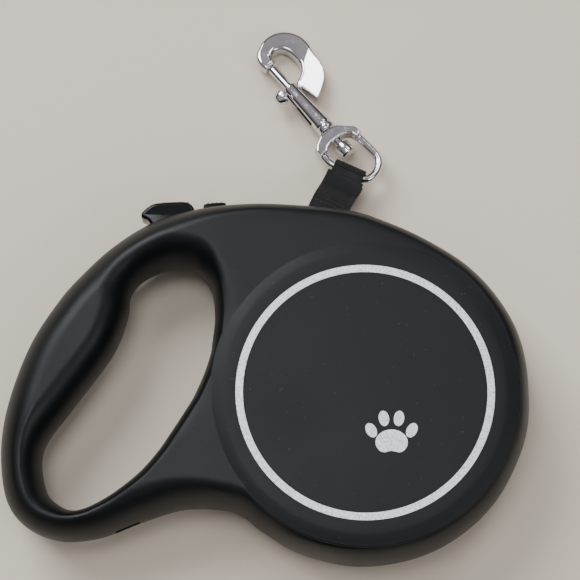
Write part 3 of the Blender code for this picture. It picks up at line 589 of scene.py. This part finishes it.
def print_ring():
    """The plain ring printed on the front plate."""
    inner, top = RING_RADIUS - RING_WIDTH, 2 * MID + PRINT_RISE
    profile = [(RING_RADIUS, top), (RING_RADIUS, top - PRINT_THICKNESS), (inner, top - PRINT_THICKNESS),
               (inner, top)]
    rings = [[Vector((r * math.cos(a), r * math.sin(a), h)) for r, h in profile]
             for a in np.linspace(0, 2 * math.pi, 240, endpoint=False)]
    show("printed_ring", grid_mesh("printed_ring", rings), PRINT, "casing", 30)


def paw_outline(cx, cy, rx, ry, turn, dent=0.0):
    """A turned oval, with its lower side dented where asked."""
    points = []
    steps = 28
    for i in range(steps):
        a = 2 * math.pi * i / steps
        x = rx * math.cos(a)
        y = ry * math.sin(a)
        if math.sin(a) < 0:
            y *= 1 - dent * math.exp(-(x / rx) ** 2 * 5)
        points.append(((cx + x * math.cos(turn) - y * math.sin(turn)) * MM,
                       (cy + x * math.sin(turn) + y * math.cos(turn)) * MM))
    return points


def print_paw(cx, cy, size):
    """A plain paw print: one pad and four toes."""
    shapes = [paw_outline(cx, cy - 0.25 * size, 0.62 * size, 0.5 * size, 0, dent=0.35)]
    for x, y, turn in ((-0.78, 0.22, 0.5), (-0.29, 0.68, 0.15), (0.29, 0.68, -0.15), (0.78, 0.22, -0.5)):
        shapes.append(paw_outline(cx + x * size, cy + y * size, 0.2 * size, 0.3 * size, turn))
    height = 2 * MID + PRINT_RISE - PRINT_THICKNESS / 2
    mesh = plate_mesh("printed_paw", shapes, PRINT_THICKNESS, 0.0, 0, height)
    show("printed_paw", mesh, PRINT, "casing", 30)


# ---------------------------------------------------------------- brake button and lock


def button():
    """The thumb lever: a long glossy top with rounded rims, and the arm that reaches inside."""
    px, py = BUTTON_PIVOT
    lever = closed_curve(((-70.7, 59.4), (-70.2, 60.7), (-68.6, 62.2), (-66.6, 63.3), (-63.5, 63.75),
                          (-60.0, 63.95), (-57.0, 63.95), (-55.2, 63.4), (-53.9, 62.0), (-53.1, 59.6),
                          (-51.6, 57.0), (-47.5, 55.2), (-43.2, 54.1), (-42.2, 52.3), (-43.4, 50.8),
                          (-47.5, 50.8), (-53.0, 52.0), (-58.5, 52.3), (-62.6, 51.7), (-65.6, 51.9),
                          (-67.2, 53.7), (-67.5, 56.0), (-68.7, 57.9), (-70.2, 58.7)), 150) * MM
    mesh = plate_mesh("brake_button_lever", [lever.tolist()], 8.8 * MM, 1.1 * MM, 6, MID)
    hole = rod_mesh("pin_hole", mm(px, py, 8), mm(px, py, 26), 1.21 * MM)
    mesh = combined("brake_button_lever", mesh, [hole], "DIFFERENCE")
    show("brake_button_lever", mesh, GLOSS, "button", 30, ("brake_button",))
    for i in range(6):
        rib = box_mesh("rib", mm(-63.6 + 1.55 * i, 63.72 + 0.035 * i, MID_MM), mm(0.55, 0.5, 6.0),
                       math.radians(3 - i), 0.2 * MM)
        show(f"button_rib_{i + 1}", rib, GLOSS, "button", 40)


def lock():
    """The lock's slider: a ridged thumb piece on a foot that the casing holds."""
    outline = closed_curve(((-50.9, 62.0), (-50.85, 62.9), (-50.3, 63.45), (-47.5, 63.8), (-44.5, 63.9),
                            (-43.75, 63.6), (-43.6, 62.6), (-43.6, 60.5), (-43.7, 58.6), (-44.2, 58.3),
                            (-46.6, 58.3), (-49.0, 58.35), (-50.0, 59.2), (-50.8, 60.3)), 90) * MM
    mesh = plate_mesh("lock_thumb", [outline.tolist()], 6.6 * MM, 0.6 * MM, 4, MID)
    foot = box_mesh("foot", mm(-46.4, 58.6, MID_MM), mm(5.6, 0.8, 8.0), 0.0, 0.15 * MM)
    ridges = [box_mesh("ridge", mm(-49.4 + 1.4 * i, 63.72 + 0.08 * i, MID_MM), mm(0.5, 0.45, 5.2), 0.0,
                       0.15 * MM) for i in range(4)]
    mesh = combined("lock_thumb", mesh, [foot] + ridges)
    show("lock_thumb", mesh, GLOSS, "lock", 35, ("lock_slider",))


# ---------------------------------------------------------------- tape end


def tape_drop(distance):
    """How far the tape end has sunk below the middle plane at a place past the mouth."""
    t = min(max((distance - 1.5 * MM) / (12.5 * MM), 0.0), 1.0)
    return -SLEEVE_DROP * t * t * (3 - 2 * t)


def lap(distance):
    """1 on the wide, doubled part of the sleeve and 0 on the fold past its step."""
    return 1.0 - float(ramp(distance, LAP_START, LAP_END))


def half_depth(distance):
    """Half the sleeve's thickness: it swells to go round the eye's bar."""
    swell = float(ramp(distance, 8 * MM, 13.5 * MM))
    return SEWN_HALF + (FOLD_RADIUS - SEWN_HALF) * swell + LAP_STEP * (lap(distance) - 1.0)


def sleeve_path():
    """The tape's outer side as (distance, height): out above, round the fold and back below."""
    tip = SLEEVE_LENGTH - FOLD_RADIUS
    run = np.sort(np.concatenate([np.linspace(-1.5 * MM, tip, 56), np.linspace(14.2 * MM, 14.8 * MM, 8)]))
    upper = [(s, tape_drop(s) + half_depth(s)) for s in run]
    fold = [(tip + FOLD_RADIUS * math.cos(a), tape_drop(tip) + FOLD_RADIUS * math.sin(a))
            for a in np.radians(np.linspace(86, -86, 40))]
    lower = [(s, tape_drop(s) - half_depth(s)) for s in run[::-1]]
    return np.array(upper + fold + lower)


def sleeve_section():
    """The tape's section as (place across from -1 to 1, depth from 0 to 1), with rounded selvedges."""
    steps = 34
    across = [-1 + 2 * i / steps for i in range(steps + 1)]
    edge = 1.0 + 0.012
    return ([(a, 0.0) for a in across] + [(edge, 0.3), (edge, 0.7)]
            + [(a, 1.0) for a in across[::-1]] + [(-edge, 0.7), (-edge, 0.3)])


def tape_loop():
    """The tape folded back round the eye and sewn down: one strip of cloth with its own thickness."""
    path = sleeve_path()
    step = np.gradient(path, axis=0)
    step /= np.linalg.norm(step, axis=1)[:, None]
    inward = np.column_stack([step[:, 1], -step[:, 0]])
    length = np.concatenate([[0], np.cumsum(np.linalg.norm(np.diff(path, axis=0), axis=1))])
    mesh = bpy.data.meshes.new("tape_sleeve")
    bm = bmesh.new()
    layer = bm.loops.layers.uv.new("UVMap")
    section = sleeve_section()
    rows = []
    for (s, z), n, d in zip(path, inward, length):
        width = SLEEVE_WIDTH[1] + (SLEEVE_WIDTH[0] - SLEEVE_WIDTH[1]) * lap(s)
        row = []
        for a, depth in section:
            inset = depth * SLEEVE_THICKNESS
            vertex = bm.verts.new(along_tape(s + n[0] * inset, a * width / 2, z + n[1] * inset))
            row.append((vertex, (a * width / 2 / MM, (d + depth * 0.1 * MM) / MM)))
        rows.append(row)
    outlines = []
    for first, second in zip(rows, rows[1:]):
        for k in range(len(section)):
            n = (k + 1) % len(section)
            outlines.append((first[k], second[k], second[n], first[n]))
    for corners in outlines + [rows[0], rows[-1]]:
        face = bm.faces.new([vertex for vertex, _ in corners])
        for loop, (_, place) in zip(face.loops, corners):
            loop[layer].uv = place
    bmesh.ops.recalc_face_normals(bm, faces=bm.faces)
    bm.to_mesh(mesh)
    bm.free()
    show("tape_sleeve", mesh, WEB, "tape", 50, ("tape_loop",))


def stitches():
    """Two rows of stitches across the sleeve and two along its edges, on both faces."""
    places = []
    for s in (1.6 * MM, 3.2 * MM):
        for i in range(7):
            places.append((s, (i - 3) * 1.45 * MM, True))
    for edge in (-1, 1):
        for i in range(4):
            places.append((4.6 * MM + i * 1.9 * MM, edge * 5.2 * MM, False))
    number = 0
    for face in (1, -1):
        for s, a, crosswise in places:
            z = tape_drop(s) + face * (half_depth(s) + 0.02 * MM)
            slope = (tape_drop(s + 0.2 * MM) - tape_drop(s - 0.2 * MM)) / (0.4 * MM)
            points = []
            for t in np.linspace(-1, 1, 7):
                lift = face * 0.16 * MM * (1 - t * t) - face * 0.1 * MM
                ds, da = (0.0, t * 0.55 * MM) if crosswise else (t * 0.7 * MM, 0.0)
                points.append(along_tape(s + ds, a + da, z + ds * slope + lift))
            number += 1
            stitch = curve_mesh("stitch", points, STITCH_RADIUS, 2)
            show(f"tape_stitch_{number}", stitch, THREAD, "tape", SMOOTH_ALL)


# ---------------------------------------------------------------- swivel snap


def snap_matrix():
    """The matrix of the snap's own axis, worked out from the eye's hinge in the fold of the tape."""
    u = Vector((math.cos(TAPE_ANGLE), math.sin(TAPE_ANGLE), 0))
    right = Vector((u.y, -u.x, 0))
    place = along_tape(HINGE_ALONG, 0, tape_drop(SLEEVE_LENGTH))
    turn = Matrix((right, u, Vector((0, 0, 1)))).transposed().to_4x4()
    hinge = Matrix.Translation(place) @ turn @ Matrix.Rotation(SNAP_TILT, 4, "X")
    return hinge @ Matrix.Translation(mm(*SNAP_ORIGIN)) @ Matrix.Rotation(SNAP_ANGLE, 4, "Z")


SNAP = snap_matrix()
ALONG_X = Matrix.Rotation(math.pi / 2, 4, "Y")


def in_metres(points):
    return [(x * MM, y * MM) for x, y in points]


def swivel_eye():
    """The eye: round wire from a thick faceted crosspiece round to the bar in the tape's fold."""
    turn = Matrix.Rotation(-SNAP_ANGLE, 3, "Z")

    def from_hinge(x, y):
        return turn @ (mm(x, y) - mm(*SNAP_ORIGIN))

    bow = [mm(-3.0, 7.1), mm(-6.2, 7.15), mm(-8.4, 7.15), mm(-9.6, 6.95), from_hinge(-4.6, 0.05),
           from_hinge(-4.0, 0.0), from_hinge(0, 0), from_hinge(4.6, 0.0), from_hinge(5.6, 0.05),
           mm(-21.15, 1.2), mm(-21.4, 0.3), mm(-21.45, -0.8), mm(-21.2, -2.3), mm(-20.6, -3.8),
           mm(-19.6, -5.2), mm(-18.3, -6.2), mm(-16.3, -6.75), mm(-12.0, -6.6), mm(-5.6, -6.2)]
    wire = curve_mesh("wire", bow, EYE_WIRE_RADIUS, 5)
    crosspiece = ((-3.9, 8.4), (-2.4, 7.1), (-0.65, 4.0), (-0.45, 0.0), (-0.65, -2.6), (-2.2, -4.3),
                  (-4.9, -7.3), (-7.7, -7.6), (-8.2, -5.5), (-6.2, -4.9), (-5.2, -3.8), (-4.7, -2.4),
                  (-4.55, 0.5), (-4.75, 3.2), (-5.3, 4.7), (-6.2, 5.5), (-6.3, 8.4))
    block = plate_mesh("block", [in_metres(crosspiece)], 4.7 * MM, 0.45 * MM, 2)
    mesh = combined("swivel_eye_cast", wire, [block], solver="EXACT")
    mesh = cast("swivel_eye_cast", mesh, 0.16 * MM, 3)
    hole = rod_mesh("hole", mm(-12, 0), mm(2, 0), 1.42 * MM)
    mesh = combined("swivel_eye_cast", mesh, [hole], "DIFFERENCE")
    show("swivel_eye_cast", moved(mesh, SNAP), CHROME, "eye", 50, ("swivel_eye",))


def swivel_stem():
    """The stem that the snap turns on, with its riveted head inside the eye."""
    profile = [(0, 3.2), (1.32, 3.2), (1.32, -6.2), (1.9, -6.4), (2.35, -6.6), (2.5, -6.95), (2.5, -10.1),
               (2.42, -10.4), (2.15, -10.7), (1.7, -10.85), (0.9, -10.93), (0, -10.95)]
    stem = moved(turned_mesh("swivel_rivet", in_metres(profile), 64), SNAP @ ALONG_X)
    show("swivel_rivet", stem, CHROME, "hook", 30, ("swivel_stem",))


def hook():
    """The snap's body, cast in one piece: barrel, leaf and the crook that the bolt closes on."""
    wide, slim, length = 3.2, 2.4, 20.2
    profile = [(0, 0.0), (wide - 0.55, 0.0), (wide - 0.15, 0.15), (wide, 0.5), (wide, 1.6),
               (wide - 0.12, 1.9), (wide - 0.42, 2.0), (wide - 0.42, 2.35), (wide - 0.1, 2.5),
               (wide - 0.08, 3.2), (slim + 0.35, length * 0.55), (slim, length - 0.5),
               (slim - 0.15, length - 0.12), (slim - 0.45, length), (0, length)]
    barrel = moved(turned_mesh("barrel", in_metres(profile), 72), ALONG_X)
    outline = [(10.7, -4.6), (11.3, -5.9), (12.6, -8.2), (14.2, -10.4), (16.2, -12.3), (18.4, -13.5),
               (21.0, -14.05), (24.0, -14.3)]
    outline += arc((28.9, -5.9), 9.4, 258, 392, 28) + [(36.0, 0.6), (34.9, 1.7), (33.6, 2.4), (32.1, 2.75),
                                                       (30.6, 2.7), (29.0, 2.3), (29.0, -2.1)]
    inside = closed_curve(((30.2, -2.05), (31.5, -2.5), (32.3, -3.7), (32.2, -5.4), (30.9, -7.1),
                           (28.9, -7.9), (26.4, -8.25), (24.0, -8.0), (21.9, -6.9), (20.6, -5.2),
                           (19.7, -3.2), (19.2, -1.7)), 48)
    outline += inside.tolist()[:45] + [(17.0, -0.8), (16.6, -2.8)]
    arm = plate_mesh("arm", [in_metres(outline)], ARM_THICKNESS, 1.3 * MM, 4)
    slope = Matrix.Translation(mm(*LEAF_ROOT, ARM_THICKNESS / MM / 2)) @ Matrix.Rotation(LEAF_TURN, 4, "Z")
    slope = slope @ Matrix.Rotation(LEAF_TILT, 4, "Y")
    arm = combined("arm", arm, [moved(box_mesh("facet", mm(8, 0, 3), mm(16, 26, 6)), slope)], "DIFFERENCE")
    mesh = combined("snap_body", barrel, [arm])
    mesh = cast("snap_body", mesh, 0.17 * MM, 6)
    cuts = [rod_mesh("bore", mm(3.4, 0), mm(22, 0), 1.75 * MM),
            rod_mesh("seat", mm(-1, 0), mm(3.6, 0), 1.4 * MM),
            box_mesh("slot", mm(13.0, 3, 0), mm(16.4, 4, 1.9), 0.0, 0.3 * MM)]
    mesh = combined("snap_body", mesh, cuts, "DIFFERENCE")
    show("snap_body", moved(mesh, SNAP), CHROME, "hook", 50, ("hook_body",))


def bolt():
    """The bolt in the barrel and the knob that draws it back."""
    profile = [(0, 13.6), (1.3, 13.6), (1.55, 13.85), (1.55, 28.2), (1.45, 28.45), (1.2, 28.6), (0, 28.6)]
    mesh = moved(turned_mesh("snap_bolt", in_metres(profile), 64), SNAP @ ALONG_X)
    show("snap_bolt", mesh, CHROME, "bolt", 35, ("hook_bolt",))
    knob = [(0, 0.0), (0.85, 0.0), (0.85, 2.7), (1.5, 2.9), (2.5, 3.05), (2.75, 3.4), (2.7, 3.9), (2.2, 4.7),
            (1.9, 5.4), (1.4, 5.95), (0.6, 6.1), (0, 6.1)]
    place = Matrix.Translation(mm(18.6, 0.6, 0)) @ Matrix.Rotation(-math.pi / 2, 4, "X")
    mesh = moved(turned_mesh("snap_knob", in_metres(knob), 64), SNAP @ place)
    show("snap_knob", mesh, CHROME, "bolt", 40, ("bolt_knob",))


# ---------------------------------------------------------------- springs


def coil_points(radius, low, high, turns):
    """A helix about X from low to high, from sizes in millimetres."""
    steps = 24
    angles = [2 * math.pi * i / steps for i in range(turns * steps + 1)]
    rise = (high - low) / (turns * steps)
    return [mm(low + rise * i, radius * math.cos(a), radius * math.sin(a)) for i, a in enumerate(angles)]


def springs():
    """The coil springs behind the bolt and under the button, each on a mesh of its own."""
    coil = moved(curve_mesh("coil_behind_bolt", coil_points(1.2, 5.0, 13.1, 6), 0.2 * MM, 3), SNAP)
    obj = show("coil_behind_bolt", coil, SPRING, "hook", SMOOTH_ALL, ("bolt_spring",))
    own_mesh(obj)
    upright = Matrix.Translation(mm(-56.5, 0, MID_MM)) @ Matrix.Rotation(math.pi / 2, 4, "Z")
    coil = moved(curve_mesh("coil_under_button", coil_points(1.9, 45.9, 51.2, 3), 0.35 * MM, 3), upright)
    obj = show("coil_under_button", coil, SPRING, "casing", SMOOTH_ALL, ("button_spring",))
    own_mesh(obj)


# ---------------------------------------------------------------- nodes kept from the CAD


def dress_nodes():
    """Materials for the CAD nodes that are shown as they are."""
    looks = {"casing_screw": STEEL, "reel_axle": STEEL, "spring_arbor": STEEL, "mainspring": SPRING,
             "button_pin": STEEL, "pawl_pin": STEEL, "reel_drum": REEL_GREY, "reel_cover": REEL_GREY,
             "reel_bush": BUSH, "wound_tape": WEB, "tape_strip": WEB, "brake_pawl": GLOSS,
             "mouth_insert": SHADOW_GAP}
    for name, obj in NODES.items():
        for start, look in looks.items():
            if name.startswith(start):
                obj.data.materials.clear()
                obj.data.materials.append(look.material)


# ---------------------------------------------------------------- stage


def floor():
    bm = bmesh.new()
    bmesh.ops.create_grid(bm, x_segments=1, y_segments=1, size=FLOOR_SIZE)
    mesh = bpy.data.meshes.new("floor")
    bm.to_mesh(mesh)
    bm.free()
    mesh.materials.append(Look("stage_floor", (0.71, 0.63, 0.525), 0.85).material)
    obj = loose("floor", mesh)
    obj.location.z = -FLOOR_GAP


def studio_sky():
    """A soft grey surround, dim near the horizon and brighter overhead."""
    world = bpy.data.worlds.new("studio")
    world.use_nodes = True
    nodes, links = world.node_tree.nodes, world.node_tree.links
    place = nodes.new("ShaderNodeTexCoord")
    split = nodes.new("ShaderNodeSeparateXYZ")
    sky = nodes.new("ShaderNodeValToRGB")
    stops = ((0.0, 0.05), (0.3, 0.06), (0.55, 0.22), (0.8, 0.42), (1.0, 0.30))
    while len(sky.color_ramp.elements) < len(stops):
        sky.color_ramp.elements.new(0.5)
    for element, (height, grey) in zip(sky.color_ramp.elements, stops):
        element.position = height
        element.color = (grey, grey * 0.98, grey * 1.02, 1.0)
    links.new(place.outputs["Generated"], split.inputs[0])
    links.new(split.outputs["Z"], sky.inputs["Fac"])
    links.new(sky.outputs["Color"], nodes["Background"].inputs["Color"])
    nodes["Background"].inputs["Strength"].default_value = 1.0
    bpy.context.scene.world = world


def lamps():
    """One large window, and three small lamps that fill, top and edge the object."""
    for name, place, size, power, colour in (
            ("window", (-0.75, 0.95, 1.15), 0.9, 27.0, (0.97, 0.98, 1.0)),
            ("fill", (0.9, -0.5, 1.0), 0.7, 4.5, (1.0, 0.98, 0.95)),
            ("top", (-0.2, 0.1, 1.6), 0.5, 7.0, (1.0, 1.0, 1.0)),
            ("glint", (0.51, 0.93, 1.27), 0.36, 2.8, (0.93, 0.98, 1.0))):
        light = bpy.data.lights.new(name, "AREA")
        light.size = size
        light.energy = power
        light.color = colour
        lamp = loose(name, light)
        lamp.location = place
        lamp.rotation_euler = (LAMP_AIM - Vector(place)).to_track_quat("-Z", "Y").to_euler()


def camera():
    made = bpy.data.cameras.new("camera")
    made.sensor_width = SENSOR_WIDTH
    made.lens = LENS
    made.clip_start = 10 * MM
    obj = loose("camera", made)
    obj.location = CAMERA_PLACE
    obj.rotation_euler = (CAMERA_TILT, 0, 0)
    bpy.context.scene.camera = obj


camera()
floor()
studio_sky()
lamps()
casing()
print_ring()
print_paw(*PAW_PLACE, PAW_SIZE)
button()
lock()
tape_loop()
stitches()
swivel_eye()
swivel_stem()
hook()
bolt()
springs()
dress_nodes()
